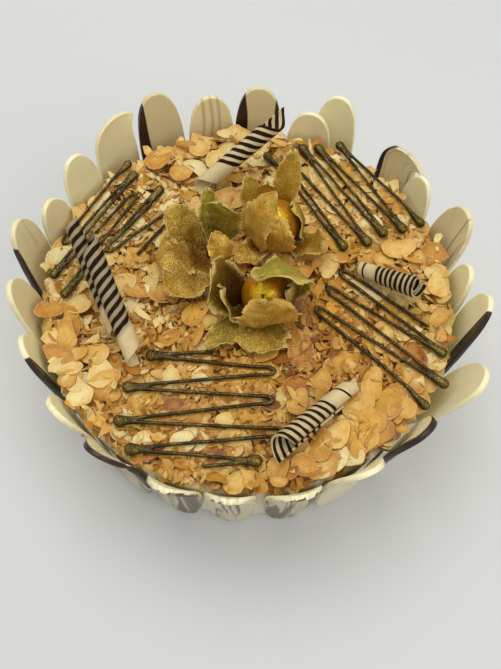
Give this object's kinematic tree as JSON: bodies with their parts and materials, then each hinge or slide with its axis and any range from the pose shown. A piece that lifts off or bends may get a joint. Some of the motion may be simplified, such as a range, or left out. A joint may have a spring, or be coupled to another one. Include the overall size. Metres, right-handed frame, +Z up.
{
  "type": "amaretto cake",
  "caption": "Round cream cake covered in toasted almond flakes, with piped chocolate zigzags, striped curls and cape gooseberries, inside a ring of upright chocolate ovals.",
  "frame": {"origin": "middle of the cake's flat bottom, on the level it stands on", "axes": "+Z up; -Y is the front, the side nearest to the viewer in the picture; +X to the right"},
  "size_m": [0.1903, 0.1877, 0.0869],
  "materials": {
    "almond_cake": "toasted almond flakes over pale cream",
    "ivory_chocolate": "satin ivory chocolate with dark marbling",
    "gilded_chocolate": "dark chocolate dusted with gold",
    "striped_chocolate": "white chocolate with thin dark stripes",
    "husk": "dry veined husk, gold-dusted",
    "berry": "glossy golden berry"
  },
  "bodies": {
    "root": {"cake": "almond_cake", "oval_01": "ivory_chocolate", "oval_02": "ivory_chocolate", "oval_03": "ivory_chocolate", "oval_04": "ivory_chocolate", "oval_05": "ivory_chocolate", "oval_06": "ivory_chocolate", "oval_07": "ivory_chocolate", "oval_08": "ivory_chocolate", "oval_09": "ivory_chocolate", "oval_10": "ivory_chocolate", "oval_11": "ivory_chocolate", "oval_12": "ivory_chocolate", "oval_13": "ivory_chocolate", "oval_14": "ivory_chocolate", "oval_15": "ivory_chocolate", "oval_16": "ivory_chocolate", "oval_17": "ivory_chocolate", "oval_18": "ivory_chocolate", "oval_19": "ivory_chocolate", "oval_20": "ivory_chocolate", "oval_21": "ivory_chocolate", "oval_22": "ivory_chocolate", "oval_23": "ivory_chocolate", "oval_24": "ivory_chocolate", "zigzag_front": "gilded_chocolate", "zigzag_right": "gilded_chocolate", "zigzag_back": "gilded_chocolate", "zigzag_left": "gilded_chocolate", "curl_left": "striped_chocolate", "curl_back": "striped_chocolate", "curl_right": "striped_chocolate", "curl_front": "striped_chocolate", "husk_front": "husk", "husk_back": "husk", "husk_left": "husk", "berry_front": "berry", "berry_back": "berry"}
  },
  "joints": []
}
